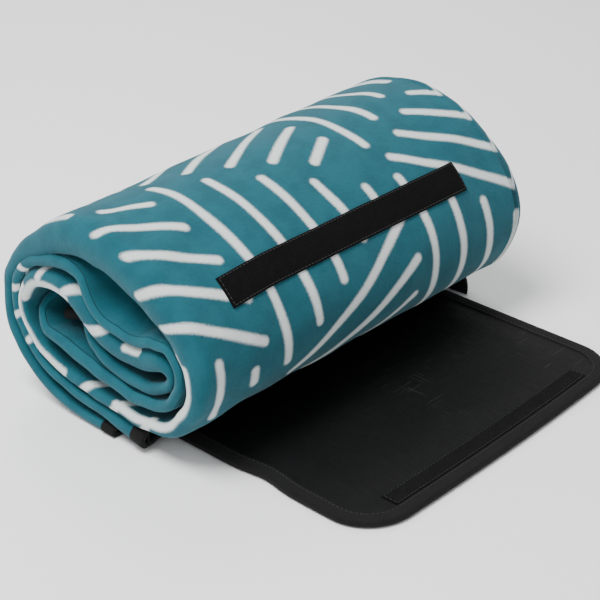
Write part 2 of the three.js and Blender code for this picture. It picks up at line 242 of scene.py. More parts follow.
# %% The near end
#   beside, y, z, half thickness, set back
OUTER_NEAR = [
    (0, -47, 5.4, 5, 2), (1, -5, 5.6, 4.6, 0), (2, 20, 6.4, 4.6, 0), (3, 42, 9, 4.6, 0), (4, 62, 15.5, 5, 0),
    (5, 85, 31, 5, 0), (6, 101, 50, 5, 0), (7, 107.5, 72, 5, 0), (8, 103.5, 103, 6, 0), (9, 94, 120, 8, 0),
    (10, 77, 138, 11, 0), (11, 52, 154.5, 14, 0), (12, 27, 163.5, 17, 0), (13, 1, 165, 18.5, 0),
    (14, -24, 159.5, 19, 0), (15, -51, 147.5, 18.5, 0), (16, -76, 133, 17, 0), (17, -93, 116, 15, 0),
    (18, -102.5, 96, 13, 0), (19, -103.5, 77, 10, 0), (20, -97, 58.5, 8.5, 0), (21, -86, 43.5, 8, 0),
    (22, -69, 32.5, 7, 0), (23, -45, 29, 6.5, 0), (24, -15, 31, 5.5, 0), (25, 20, 35.5, 5.5, 0),
    (26, 48, 41, 5.5, 0), (27, 70, 52, 5.5, 0), (28, 84, 68, 5, 0), (29, 88, 87, 5, 0), (30, 81, 107, 7, 0),
    (31, 63, 118, 10, 0), (32, 40, 118.5, 11, 0), (33, 20, 108, 12, 0), (34, 0, 93, 12, 0),
    (35, -20, 86, 11, 0), (36, -40, 85.5, 11, 0), (37, -57, 90, 11, 0), (38, -70, 92, 8, 0),
    (39, -79, 85, 4.5, 2), (40, -75, 73.5, 4.5, 2), (41, -60, 65.5, 5.5, 2), (42, -40, 63.5, 6.5, 2),
    (43, -20, 65.5, 6.5, 2), (44, 0, 72, 5.5, 2), (45, 16, 79.5, 4.5, 6), (46, 30, 88.5, 4.2, 14),
    (47, 44, 97.5, 4, 22), (48, 60, 103, 4, 26),
]
INNER_NEAR = [
    (0, -47, 12, 9, 0), (0.5, -26, 14.5, 7.5, 0), (1, -5, 19, 5.5, 0), (2, 20, 22.5, 5.2, 0),
    (3, 42, 26.5, 5.2, 0), (4, 62, 33.5, 4.6, 0), (5, 80, 47, 4.4, 0), (6, 92.5, 64, 4.4, 0),
    (7, 97.5, 83, 4.4, 0), (8, 94, 104, 4.6, 0), (9, 84.5, 120, 5, 0), (10, 70.5, 131.5, 5.5, 0),
    (11, 51, 138.5, 6, 0), (12, 29, 140, 5.5, 0), (13, 13, 133, 4.5, 0), (13.6, 8.5, 119, 4.5, 0),
    (14.3, -3, 107.5, 4.5, 0), (15, -20, 102.5, 4.5, 0), (16, -44, 102.5, 4.5, 0), (17, -63, 107.5, 4.5, 0),
    (18, -79, 106.5, 4.2, 0), (19, -88, 94, 4, 0), (20, -88, 78, 4, 0), (21, -80, 62, 4.5, 0),
    (22, -62, 52, 5.5, 0), (23, -40, 49, 6, 0), (24, -14, 52.5, 6.3, 0), (25, 16, 58.5, 6.5, 0),
    (26, 44, 66, 6, 0), (27, 65, 70.5, 5, 2), (28, 76, 82, 4, 10), (29, 75, 97, 3.6, 24),
    (30, 66, 103, 3.4, 38), (31, 50, 101, 3.4, 46), (32, 32, 94, 3.4, 46), (33, 16, 86, 3.4, 46), (34, 0, 79, 3.4, 46),
    (35, -20, 76, 3.4, 46), (36, -40, 76, 3.4, 46), (37, -54, 77, 3.4, 46), (38, -63, 76, 3.4, 46),
    (39, -67, 73, 3.4, 46), (40, -63, 70, 3.4, 46), (41, -54, 68, 3.4, 46), (42, -40, 68, 3.4, 46),
    (43, -20, 70, 3.4, 46), (44, 0, 74, 3.4, 42), (45, 14, 80, 3.4, 34), (46, 27, 84, 3.4, 26),
    (47, 40, 84, 3.4, 20), (48, 54, 80, 3.6, 16),
]


def pair_at_near_end(rows):
    """Place, half thickness and set-back of a pair at the near end, for each millimetre of the route."""
    rows = np.array(rows)
    return smooth_curve(along_of(rows[:, 0]), rows[:, 1:], ALONG)


near_end = {"outer": pair_at_near_end(OUTER_NEAR), "inner": pair_at_near_end(INNER_NEAR)}
SAG_MIDDLE, SAG_REACH, SAG_DEPTH = 412, 105, 16
sag_place = np.clip((ALONG - SAG_MIDDLE) / SAG_REACH, -1, 1)
sag = SAG_DEPTH * np.cos(sag_place * math.pi / 2) ** 2
along_the_roll = {
    "outer": ROUTE + PAIR_OFFSET * OUTWARD,
    "inner": ROUTE - (PAIR_OFFSET + sag)[:, None] * OUTWARD,
}
print("rows of the near end:", len(OUTER_NEAR), len(INNER_NEAR))

# %% [markdown]
# Any point of the folded cloth is now found from four things: the pair it belongs to, how far it is along
# the strip, how far it is from the near end, and which side of the pair it is on. Cloth is never quite
# even, so slow waves push it in and out by a millimetre, more near the crumpled end.

# %% Where the cloth is
X_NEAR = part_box("fleece_face")[0][0] / MM
X_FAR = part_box("fleece_face")[1][0] / MM + 3.5  # the cloth bulges at its far end
FAR_RADIUS = 10.0  # of the big fold at the far end
HEM_X = X_FAR - FAR_RADIUS - 0.5
END_REACH = 105.0  # how deep into the roll the crumpled end reaches
NEAR_SHIFT = 6.0  # the roll lies a little askew: its near end is further back
FLATTER = 0.975  # the near end is a little flatter than the even roll
TAPER = 0.055  # and the far end a little taller
FAR_SHIFT = -10.0
OUTER_STEP = 33.0  # the outer pair ends this much short of the inner one
CORNER_OUT = 52.0  # and its far corner sticks out this much beyond its end
WAVES = [(0.45, 83, 120, 0.3), (0.25, 47, 71, 1.9), (0.35, 128, 60, 4.2)]
END_WAVES = [(0.35, 37, 70, 0.7), (0.2, 23, 52, 2.9)]


def read(table, along):
    """Columns of a table kept per millimetre of the route, with its ends carried straight on."""
    inside = np.clip(along, 0, ALONG[-1])
    values = np.stack([np.interp(inside, ALONG, table[:, i]) for i in range(table.shape[1])], axis=-1)
    before = (along - inside)[..., None]
    ends = np.where(along[..., None] < 0, table[8] - table[0], table[-1] - table[-9]) / 8
    return values + before * ends


def wave(waves, along, x):
    total = np.zeros(np.broadcast(along, x).shape)
    for height, length, width, phase in waves:
        total += height * np.sin(along * 2 * math.pi / length + phase + x * 2 * math.pi / width)
        crossing = along * 2 * math.pi / (1.7 * length) - phase * 3 - x * 2 * math.pi / width
        total += 0.5 * height * np.sin(crossing)
    return total


def end_weight(pair, along, x):
    """1 at the near end and 0 where the roll is even."""
    deep = 45.0 if pair == "inner" else 62.0
    first, last = (27, 30) if pair == "inner" else (36, 39)
    core = smoothstep(along_of(first), along_of(last), along)
    reach = END_REACH + (deep - END_REACH) * core
    if pair == "inner":
        reach = reach + (45.0 - END_REACH) * (1 - smoothstep(10, 60, along))  # clear of the flap's root
    return 1 - smoothstep(0, 1, (x - X_NEAR) / reach)


def pair_middle(pair, along, x):
    """Middle (y, z), half thickness and set-back of a pair at places along and across the strip."""
    near = read(near_end[pair], along)
    even = read(along_the_roll[pair], along)
    w = end_weight(pair, along, x)
    middle = even + (near[..., :2] - even) * w[..., None]
    half = PAIR_HALF + (near[..., 2] - PAIR_HALF) * w
    return middle, half, near[..., 3]


def pair_point(pair, side, along, x, inset):
    """A point of a layer. side runs from 1, the layer nearer the outside, to -1, the one nearer the core."""
    along, x, side = np.broadcast_arrays(along, x, side)
    middle, half, _ = pair_middle(pair, along, x)
    ahead, _, _ = pair_middle(pair, along + 4.0, x)
    behind, _, _ = pair_middle(pair, along - 4.0, x)
    run = ahead - behind
    run = run / np.linalg.norm(run, axis=-1)[..., None]
    out = np.stack([run[..., 1], -run[..., 0]], axis=-1)
    ripple = wave(WAVES, along, x) + wave(END_WAVES, along, x) * end_weight(pair, along, x)
    ripple = ripple * smoothstep(4, 30, middle[..., 1])
    return middle + out * (side * np.maximum(half - inset, 0.35) + ripple)[..., None]


def to_frame(place, x):
    """Millimetres in the roll's own section to metres in the frame, with the roll's slight taper."""
    share = (x - X_NEAR) / (X_FAR - X_NEAR)
    back_swell = 1 + TAPER * share * smoothstep(0, 60, place[..., 0])  # the front keeps clear of the flap
    y = place[..., 0] * back_swell + NEAR_SHIFT + FAR_SHIFT * share + ROLL_BACK
    z = place[..., 1] * (FLATTER + TAPER * share)
    return np.stack([np.broadcast_to(x, y.shape), y, z], axis=-1) * MM


print("cloth from x", round(X_NEAR), "to", round(X_FAR), "mm")

# %% [markdown]
# The columns of the cloth run from one hem to the other: in along the outer pair's inner layer, round its
# near fold, back along its outer layer, round the far fold to the core side, in along the inner pair,
# round the second near fold and back to the other hem. The same columns serve the fleece, the wadding,
# the back and the tapes: only the inset from the face differs.

# %% Columns across the cloth
def across_columns(layer_steps, fold_steps, far_steps):
    """(part, share) for each column: which stretch of the cloth it is in and how far along that stretch."""
    inwards = np.linspace(0, 1, layer_steps - 1) ** 1.5  # closer together near the folds
    inwards = np.insert(inwards, -1, 0.986)[::-1]
    folds = np.linspace(0, 1, fold_steps + 2)[1:-1]
    far = np.linspace(0, 1, far_steps + 2)[1:-1]
    parts = [("outer_in", s) for s in inwards]
    parts += [("outer_fold", s) for s in folds]
    parts += [("outer_out", s) for s in inwards[::-1]]
    parts += [("far_fold", s) for s in far]
    parts += [("inner_in", s) for s in inwards]
    parts += [("inner_fold", s) for s in folds]
    parts += [("inner_out", s) for s in inwards[::-1]]
    return parts


PANEL = 375.0  # a quarter of the sheet's width
PRINT_DRIFT = 50.0  # the print has drifted this much at the second fold


def print_across(across):
    """Where the print's own grid is, at a distance across the flat sheet."""
    return np.where(across > 2 * PANEL, across - PRINT_DRIFT * (across - 2 * PANEL) / PANEL, across)


def fold_radius(half):
    return np.minimum(half, 4 + 0.62 * half)


def column_points(part, share, along, inset):
    """A column of points of the cloth, in metres, and how far across the flat sheet the column lies."""
    pair = "outer" if part.startswith("outer") else "inner"
    if part == "far_fold":
        x = np.full_like(along, X_FAR - FAR_RADIUS)
        outer = pair_point("outer", 1.0, along, x, inset)
        inner = pair_point("inner", -1.0, along, x, inset)
        middle, arm = (outer + inner) / 2, (outer - inner) / 2
        turn = math.pi * share
        place = middle + arm * math.cos(turn)
        return to_frame(place, x + math.sin(turn) * (FAR_RADIUS - inset)), 2 * PANEL + (share - 0.5) * 25
    _, half, back = pair_middle(pair, along, np.full_like(along, X_NEAR + 4.0))
    radius = fold_radius(half)
    start = X_NEAR + back + radius
    flat_fold = PANEL if pair == "outer" else 3 * PANEL
    if part.endswith("fold"):
        turn = math.pi * (share - 0.5) * (1 if pair == "outer" else -1)
        x = start - math.cos(turn) * np.maximum(radius - inset, 0.3)
        side = math.sin(turn)
        arc = turn * radius
        place = pair_point(pair, side, along, x, inset)
        return to_frame(place, x), print_across(flat_fold + (arc if pair == "outer" else -arc))
    end = X_FAR - FAR_RADIUS if part in ("outer_out", "inner_in") else HEM_X
    x = start + (end - start) * share
    side = 1.0 if part.endswith("out") else -1.0
    run = (x - start) + radius * math.pi / 2
    sign = {"outer_in": -1, "outer_out": 1, "inner_in": -1, "inner_out": 1}[part]
    return to_frame(pair_point(pair, side, along, x, inset), x), print_across(flat_fold + sign * run)


def end_of(part, share):
    """How far along the route the cloth starts, at a column. The far corner of the outer pair sticks out."""
    if part.startswith("outer"):
        return OUTER_STEP - (CORNER_OUT if share > 0.99 and part != "outer_fold" else 0.0)
    return (OUTER_STEP - CORNER_OUT) * (1 - share) if part == "far_fold" else 0.0


outer_face = ROUTE + (PAIR_OFFSET + PAIR_HALF) * OUTWARD
face_run = np.concatenate([[0], np.cumsum(np.linalg.norm(np.diff(outer_face, axis=0), axis=1))])


def cloth_grid(parts, stations, inset, trim):
    """Points and cloth coordinates of a whole layer at one inset, trimmed at both ends of the strip."""
    points, flat = [], []
    for part, share in parts:
        along = np.linspace(end_of(part, share) + trim, ALONG[-1] - trim, stations)
        place, across = column_points(part, share, along, inset)
        points.append(place)
        run = np.interp(along, ALONG, face_run)
        flat.append(np.stack([np.broadcast_to(across, along.shape), run], axis=-1))
    return np.stack(points, axis=1), np.stack(flat, axis=1) * MM


# %% [markdown]
# Three sheets share those columns: the printed fleece outside, the wadding, and the waterproof back inside.
# The hidden two are coarser, and are cut a little shorter so that the tape covers their edges.

# %% Layers of the sheet
def cloth_layer(name, columns, stations, inset, thickness, trim):
    parts = across_columns(*columns)
    outer, flat = cloth_grid(parts, stations, inset, trim)
    inner, _ = cloth_grid(parts, stations, inset + thickness, trim)
    piece = thick_sheet(name, outer, inner, flat)
    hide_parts(name.replace("_cloth", ""))
    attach(piece, "root")
    print(name, len(piece.data.polygons), "faces")
    return piece


fleece = cloth_layer("fleece_face_cloth", (29, 11, 11), 262, 0.0, 1.5, 0.0)
wadding = cloth_layer("wadding_cloth", (12, 5, 7), 150, 1.8, 1.0, 2.5)
backing = cloth_layer("waterproof_backing_cloth", (12, 5, 7), 150, 3.0, 0.4, 1.5)

# %% [markdown]
# Materials are mixed from sums and products of a few patterns. A small class wraps a shader socket, so that
# the pattern of a print or a weave can be written as ordinary arithmetic, and every other node is made by
# one method. Fleece, twill, webbing and embossed cloth differ in the size of their pattern, in how it
# stands up, and in how much of the light they scatter from their fibres.

# %% Shader arithmetic
class Wire:
    """A shader socket that can stand in a sum, a product or a comparison."""

    def __init__(self, look, socket):
        self.look = look
        self.socket = socket

    def math(self, operation, *others):
        return self.look.node("ShaderNodeMath", {"operation": operation}, dict(enumerate((self, *others))))

    def __add__(self, other):
        return self.math("ADD", other)

    __radd__ = __add__

    def __sub__(self, other):
        return self.math("SUBTRACT", other)

    def __rsub__(self, other):
        return self.look.node("ShaderNodeMath", {"operation": "SUBTRACT"}, {0: other, 1: self})

    def __mul__(self, other):
        return self.math("MULTIPLY", other)

    __rmul__ = __mul__

    def __truediv__(self, other):
        return self.math("DIVIDE", other)

    def abs(self):
        return self.math("ABSOLUTE")

    def at_least(self, other):
        return self.math("MAXIMUM", other)

    def at_most(self, other):
        return self.math("MINIMUM", other)

    def floor(self):
        return self.math("FLOOR")

    def rounded(self):
        return self.math("ROUND")

    def wrapped(self, length):
        """What is left over after whole lengths, never negative."""
        return self - (self / length).floor() * length

    def sine(self):
        return self.math("SINE")

    def root(self):
        return self.math("SQRT")

    def step(self, low, high):
        """0 below low, 1 above high and smooth between; the other way round if low is above high."""
        settings = {"interpolation_type": "SMOOTHSTEP"}
        ends = {"Value": self, "From Min": min(low, high), "From Max": max(low, high)}
        if low > high:
            ends.update({"To Min": 1.0, "To Max": 0.0})
        return self.look.node("ShaderNodeMapRange", settings, ends)


class Look:
    """A material under construction."""

    def __init__(self, name, roughness=0.9, sheen=0.0, sheen_tint=(1, 1, 1), specular=0.3):
        self.material = bpy.data.materials.new(name)
        self.material.use_nodes = True
        self.tree = self.material.node_tree
        self.shader = self.tree.nodes["Principled BSDF"]
        self.shader.inputs["Roughness"].default_value = roughness
        self.shader.inputs["Sheen Weight"].default_value = sheen
        self.shader.inputs["Sheen Roughness"].default_value = 0.45
        self.shader.inputs["Sheen Tint"].default_value = (*sheen_tint, 1)
        self.shader.inputs["Specular IOR Level"].default_value = specular

    def node(self, kind, settings=None, inputs=None, output=0):
        made = self.tree.nodes.new(kind)
        for key, value in (settings or {}).items():
            setattr(made, key, value)
        for key, value in (inputs or {}).items():
            if isinstance(value, Wire):
                self.tree.links.new(value.socket, made.inputs[key])
            elif isinstance(value, tuple) and len(value) == 3 and made.inputs[key].type == "RGBA":
                made.inputs[key].default_value = (*value, 1)
            else:
                made.inputs[key].default_value = value
        return Wire(self, made.outputs[output])

    def cloth(self):
        """Millimetres across and along the cloth."""
        uv = self.node("ShaderNodeUVMap", {"uv_map": "cloth"})
        return [self.node("ShaderNodeSeparateXYZ", None, {0: uv}, axis) * 1000.0 for axis in (0, 1)]

    def place(self):
        """The point on the object, in metres."""
        return self.node("ShaderNodeTexCoord", None, None, "Object")

    def noise(self, scale, detail=2.0, at=None):
        inputs = {"Vector": at or self.place(), "Scale": scale, "Detail": detail}
        return self.node("ShaderNodeTexNoise", None, inputs, "Fac")

    def mix(self, factor, a, b):
        """A colour between a, at 0, and b, at 1. Each is three numbers or another mix."""
        inputs = {0: factor, 6: a, 7: b}
        return self.node("ShaderNodeMix", {"data_type": "RGBA", "clamp_factor": True}, inputs, 2)

    def paint(self, colour):
        self.tree.links.new(colour.socket, self.shader.inputs["Base Color"])

    def rough(self, roughness):
        self.tree.links.new(roughness.socket, self.shader.inputs["Roughness"])

    def emboss(self, height, depth, strength):
        """Raises the surface by height, which runs from 0 to 1, times depth in metres."""
        bump = self.node("ShaderNodeBump", None, {"Height": height, "Distance": depth, "Strength": strength})
        self.tree.links.new(bump.socket, self.shader.inputs["Normal"])


print("shader arithmetic ready")

# %% [markdown]
# The print is pale bars on teal: columns of upright bars that get shorter and shorter, and between them
# slanting bars that fill what is left. It repeats along the cloth, and every second column is further on
# and slants the other way. Ink on brushed fleece has soft edges, so the print is worked out as the distance
# to the nearest bar, which the pile ruffles before it is cut off.

# %% The print's bars
COLUMN = 175.0
REPEAT = 240.0
BAR = 3.8  # half the width of a bar
BAR_SOFT = 1.9  # how far the ink has crept each way
EDGE = 8.0  # each column takes in the left half of its first bar
FIRST_COLUMN = 90.0  # from the near fold to the first column's border
LEVEL_COLUMN = 360.0  # from the near fold to where the rows have their true place
LEVEL_UP = 350.0  # and how far up the columns have theirs
LEAN = 0.035  # rows and columns lean a little, because the cloth is wound askew
FIRST_UP = 126.0  # where a repeat starts in the first column
ODD_UP = 97.0  # every second column is this much further on
UPRIGHT_GAP = 35.0
UPRIGHT_REACH = 100.0  # half the length of a column's first upright bar
SHORTER = 23.4  # each of the next four is this much shorter at both ends
LAST_BAR = 4.0  # bars are counted from 0
SLANT = 0.65  # how much a slanting bar climbs
SLANT_GAP = 36.5
SLANT_DROP = 6.2  # the first slanting bar passes this far below the middle of the gap
SLANT_START = (8.2, 1.305, 4.0)  # where the slanting bars start: (row * gap + first) / second + third
SLANT_END = 152.0
BELOW_FRONT = 164.0  # the print's zero lies this far below the middle of the roll's front


def beside(point):
    """How far along the flat sheet a point of the route lies."""
    return float(np.interp(along_of(point), ALONG, face_run))


def hypotenuse(a, b):
    return (a * a + b * b).root()


def distance_to_bars(across, along):
    """From any place on the cloth to the middle line of the nearest upright or slanting bar."""
    up = beside(18) + BELOW_FRONT - along - (PANEL + LEVEL_COLUMN - across) * LEAN
    side = across - PANEL - FIRST_COLUMN - (LEVEL_UP - up) * LEAN
    in_column = (side + EDGE).wrapped(COLUMN) - EDGE
    odd = ((side - in_column) / COLUMN + 1.0).rounded().wrapped(2.0)
    since = (up - (FIRST_UP + odd * ODD_UP)).wrapped(REPEAT) - REPEAT / 2

    upright = (in_column / UPRIGHT_GAP).rounded().at_most(LAST_BAR)
    past_end = (REPEAT / 2 - since.abs() - (UPRIGHT_REACH - upright * SHORTER)).at_least(0.0)
    to_upright = hypotenuse(in_column - upright * UPRIGHT_GAP, past_end)

    climb = since * (odd * 2.0 - 1.0)
    row = ((in_column * SLANT - SLANT_DROP - climb) / SLANT_GAP).rounded()
    row = row.at_least(0.0).at_most(LAST_BAR)
    start = (row * SLANT_GAP + SLANT_START[0]) / SLANT_START[1] + SLANT_START[2]
    start_climb = start * SLANT - SLANT_DROP - row * SLANT_GAP
    length = math.hypot(1, SLANT)
    from_start, climbed = in_column - start, climb - start_climb
    run = (from_start + climbed * SLANT) / length
    past_end = (run * -1.0).at_least(run - (SLANT_END - start) * length).at_least(0.0)
    to_slant = hypotenuse((climbed - from_start * SLANT) / length, past_end)
    return to_upright.at_most(to_slant)


print("print repeats every", COLUMN, "by", REPEAT, "mm")

# %% [markdown]
# At the near end the folds show which part of the print they happen to cross. Two bars lie along the outer
# fold itself, the bars above the first one stop short of the lip, and elsewhere the folds are nearly plain.

# %% The print at the folds
FOLD_BARS = [(17.7, 23.9), (29.3, 32.4)]  # the bars along the fold, by points of the route
FOLD_SIDE = 4.0  # how far inside the fold's crest they lie
LIP_POINTS = (14.2, 15.2)  # bars stop LIP_BACK short of the lip before the first point
LIP_BACK = 17.0
PLAIN_INNER = (4.0, 11.2)  # the inner fold meets bars only between these points
PLAIN_OUTER = 36.8  # the outer fold meets none after this point
FAR_AWAY = 20.0  # any distance well over a bar's width


def distance_with_folds(across, along):
    """The same distance, with bars taken away or added where the folds show."""
    first_bar = beside(FOLD_BARS[0][0])
    lip_ends = [beside(point) for point in LIP_POINTS]
    lip_side = (along * -1.0 + lip_ends[1]).step(0.0, lip_ends[1] - lip_ends[0]) * LIP_BACK + (PANEL - 2.0)
    past_lip = (lip_side - across).at_least(0.0) * (across - (PANEL - 60.0)).step(0.0, 20.0)
    past_lip = past_lip * (along * -1.0 + first_bar - 12.0).step(0.0, 6.0)
    at_inner = (across - (3 * PANEL + 30.0)).abs().step(110.0, 90.0)
    at_outer = (across - PANEL).abs().step(80.0, 60.0)
    plain = (along - beside(PLAIN_INNER[0])).step(6.0, -6.0)
    plain = plain.at_least((along - beside(PLAIN_INNER[1])).step(-6.0, 6.0)) * at_inner
    plain = plain.at_least((along - beside(PLAIN_OUTER)).step(-6.0, 6.0) * at_outer)
    nearest = hypotenuse(distance_to_bars(across, along), past_lip) + plain * FAR_AWAY
    for first, last in ((beside(a), beside(b)) for a, b in FOLD_BARS):
        past_end = ((along - (first + last) / 2).abs() - (last - first) / 2).at_least(0.0)
        nearest = nearest.at_most(hypotenuse(across - (PANEL - FOLD_SIDE), past_end))
    return nearest


print("bars along the fold:", len(FOLD_BARS))

# %% [markdown]
# Fleece is matt and a little furry. The dye is uneven over a few centimetres and the pile over a
# millimetre, and the same fine noise ruffles the edges of the bars.

# %% Fleece
TEAL_FACE, TEAL_DEEP = (0.0115, 0.094, 0.124), (0.0065, 0.060, 0.083)
WHITE_FACE, WHITE_DEEP = (0.62, 0.66, 0.65), (0.6, 0.68, 0.69)
PILE = 0.0011  # metres
RUFFLE = 2.4  # millimetres


def fleece_look():
    look = Look("printed fleece", roughness=0.95, sheen=0.14, sheen_tint=(0.75, 0.95, 1.0), specular=0.15)
    ruffle = (look.noise(900.0, 2.0) - 0.5) * RUFFLE
    bar = (distance_with_folds(*look.cloth()) + ruffle).step(BAR + BAR_SOFT, BAR - BAR_SOFT)
    pile = look.noise(1500.0, 2.0)
    blotch = look.noise(55.0, 2.0).step(0.35, 0.68)
    teal = look.mix(blotch * 0.45 + (pile - 0.5) * 0.9, TEAL_FACE, TEAL_DEEP)
    white = look.mix(pile.step(0.4, 0.75) * 0.5, WHITE_FACE, WHITE_DEEP)
    look.paint(look.mix(bar, teal, white))
    look.emboss(pile * 0.6 + look.noise(340.0, 3.0) * 0.9, PILE, 0.55)
    return look.material


fleece.data.materials.append(fleece_look())
print("fleece dressed:", fleece.name)

# %% [markdown]
# Every cut edge of the sheet is bound with folded tape: a thin shell that runs down the outside, round the
# cut and up the inside. It follows the same columns as the cloth, so it lies on it everywhere. The hems
# hide in the far fold, and the ends of the strip show as black corners low at the near end.

# %% Binding tape on the sheet
TAPE = 0.5
TAPE_WIDTH = 13.0
LAYER = 3.5
TAPE_STAND = 0.25  # the tape stands this far off the cloth
TAPE_SECTION = [  # (distance from the cut edge, inset from the face)
    (TAPE_WIDTH, -TAPE_STAND), (TAPE_WIDTH, -TAPE_STAND - TAPE), (0.3, -TAPE_STAND - TAPE), (-0.55, 0.1),
    (-0.55, LAYER - 0.1), (0.3, LAYER + TAPE_STAND + TAPE), (TAPE_WIDTH, LAYER + TAPE_STAND + TAPE),
    (TAPE_WIDTH, LAYER + TAPE_STAND), (-TAPE_STAND, LAYER + TAPE_STAND), (-TAPE_STAND, -TAPE_STAND),
]


def on_root(piece, *nodes):
    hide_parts(*nodes)
    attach(piece, "root")
    return piece


def end_tape(name, parts, at_start, node):
    """Tape along one end of the strip, over the given columns."""
    rings = []
    for part, share in parts:
        edge = end_of(part, share) if at_start else ALONG[-1]
        ring = []
        for distance, inset in TAPE_SECTION:
            along = edge + distance if at_start else edge - distance
            place, _ = column_points(part, share, np.array([along]), inset)
            ring.append(place[0])
        rings.append(ring)
    return on_root(band_piece(name, rings), node)


def hem_tape(name, pair, side, node):
    """Tape along one long edge of the sheet, which lies just inside the far fold."""
    start = OUTER_STEP if pair == "outer" else 0.0
    along = np.linspace(start + TAPE_WIDTH + 1, ALONG[-1] - TAPE_WIDTH - 1, 190)
    columns = []
    for distance, inset in TAPE_SECTION:
        x = np.full_like(along, HEM_X - distance)
        columns.append(to_frame(pair_point(pair, side, along, x, inset), x))
    return on_root(band_piece(name, np.stack(columns, axis=1)), node)


tape_columns = across_columns(29, 11, 11)
outer_columns = [c for c in tape_columns if c[0].startswith("outer")]
inner_columns = [c for c in tape_columns if not c[0].startswith("outer")]
tapes = [
    end_tape("end_tape_outer_pair", outer_columns, True, "end_binding_outer_pair"),
    end_tape("end_tape_inner_pair", inner_columns, True, "end_binding_inner_pair"),
    end_tape("core_end_tape", tape_columns, False, "core_end_binding"),
    hem_tape("hem_tape_outer_pair", "outer", -1.0, "hem_binding_outer_pair"),
    hem_tape("hem_tape_inner_pair", "inner", 1.0, "hem_binding_inner_pair"),
]
print("tapes:", [tape.name for tape in tapes])

# %% [markdown]
# The loop half of the closure is a strip sewn to the printed face, high on the front of the roll. It is
# stiffer than the fleece, presses it down a little and has hard cut ends.

# %% Loop strip
LOOP_ENDS = (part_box("loop_strip")[0][0] / MM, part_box("loop_strip")[1][0] / MM)
LOOP_FROM = 421.0  # along the route, at the strip's upper edge
LOOP_WIDE = 24.0  # along the route, a little less than its width because the face lies further out
LOOP_THICK = 1.7
LOOP_SKEW = 3.5  # the far end sits lower


def strip_outline(wide, thick, sink, steps):
    """A flat strip's closed outline with slightly rounded edges: (across, height)."""
    top = [(wide * i / steps, thick) for i in range(1, steps)]
    return ([(0.0, thick * 0.55), (0.25, thick * 0.9), (0.7, thick)] + top[1:-1]
            + [(wide - 0.7, thick), (wide - 0.25, thick * 0.9), (wide, thick * 0.55), (wide, -sink)]
            + [(wide * (1 - i / 5), -sink) for i in range(1, 6)])


def loop_point(x, across, height):
    """A point on the outer face of the roll, across the strip and up from the fleece."""
    share = (x - LOOP_ENDS[0]) / (LOOP_ENDS[1] - LOOP_ENDS[0])
    along = np.asarray(LOOP_FROM + across + LOOP_SKEW * share, float)
    return to_frame(pair_point("outer", 1.0, along, np.full_like(along, x), -height), np.full_like(along, x))


def loop_rings():
    outline = np.array(strip_outline(LOOP_WIDE, LOOP_THICK, 0.4, 12))
    places = np.concatenate([[LOOP_ENDS[0], LOOP_ENDS[0] + 0.5], np.linspace(*LOOP_ENDS, 80)[1:-1],
                             [LOOP_ENDS[1] - 0.5, LOOP_ENDS[1]]])
    rings = []
    for x in places:
        at_end = min(x - LOOP_ENDS[0], LOOP_ENDS[1] - x) < 0.2
        height = np.where(outline[:, 1] > 0, outline[:, 1] * (0.75 if at_end else 1), outline[:, 1])
        rings.append(loop_point(x, outline[:, 0], height))
    return rings


loop_strip = on_root(band_piece("loop_strip_pile", loop_rings()), "loop_strip")
print("loop strip", round(LOOP_ENDS[1] - LOOP_ENDS[0]), "mm long")

# %% [markdown]
# The flap lies open on the ground. In the frame it is five stiff panels; the real one bends all along. Each
# of its layers is cut in strips from the middle of one panel to the middle of the next, and the strips lie
# flat, each ending where the next begins.

# %% Places on the flap
hinges = {j["name"]: j for j in frame["record"]["behaviour"]["joints"]}
CURLS = ["flap_close", "flap_curl_2", "flap_curl_3", "flap_curl_4", "flap_curl_5"]
hinge_y = [hinges[name]["pos_m"][1] / MM for name in CURLS]
HINGE_Z = hinges["flap_close"]["pos_m"][2] / MM
FLAP_LEFT, FLAP_FRONT, BINDING_LOW = (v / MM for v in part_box("flap_binding_front")[0])
FLAP_RIGHT, _, BINDING_HIGH = (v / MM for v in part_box("flap_binding_front")[1])
LINING_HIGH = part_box("flap_lining_2")[1][2] / MM
COVER_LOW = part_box("flap_cover_2")[0][2] / MM
ROOT_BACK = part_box("flap_root_lining")[1][1] / MM
ROOT_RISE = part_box("flap_root_lining")[1][2] / MM - LINING_HIGH
MIDDLE_X, HALF_WIDTH = 12.0, 168.0
NICK_Y, NICK_REACH, NICK_DEPTH = -66.0, 20.0, 4.0  # the left side runs in a little here
SLIMMER = 10.0  # the right side lies this much further in than its pattern
FRONT_BOW = 4.5  # the front edge is straight in the middle and runs back to its corners
CORNER = 42.0
BINDING_WIDTH = 13.0
middles = [(a + b) / 2 for a, b in zip(hinge_y, hinge_y[1:])]
strip_ends = list(zip([ROOT_BACK] + middles, middles + [FLAP_FRONT]))


def corner_cut(y, edge):
    """How much a rounded front corner takes off each side. The outline lies edge inside the flap's."""
    radius = CORNER - edge
    down = np.clip(radius - (y - (FLAP_FRONT + edge)), 0, radius)
    return edge + radius - np.sqrt(radius ** 2 - down ** 2)


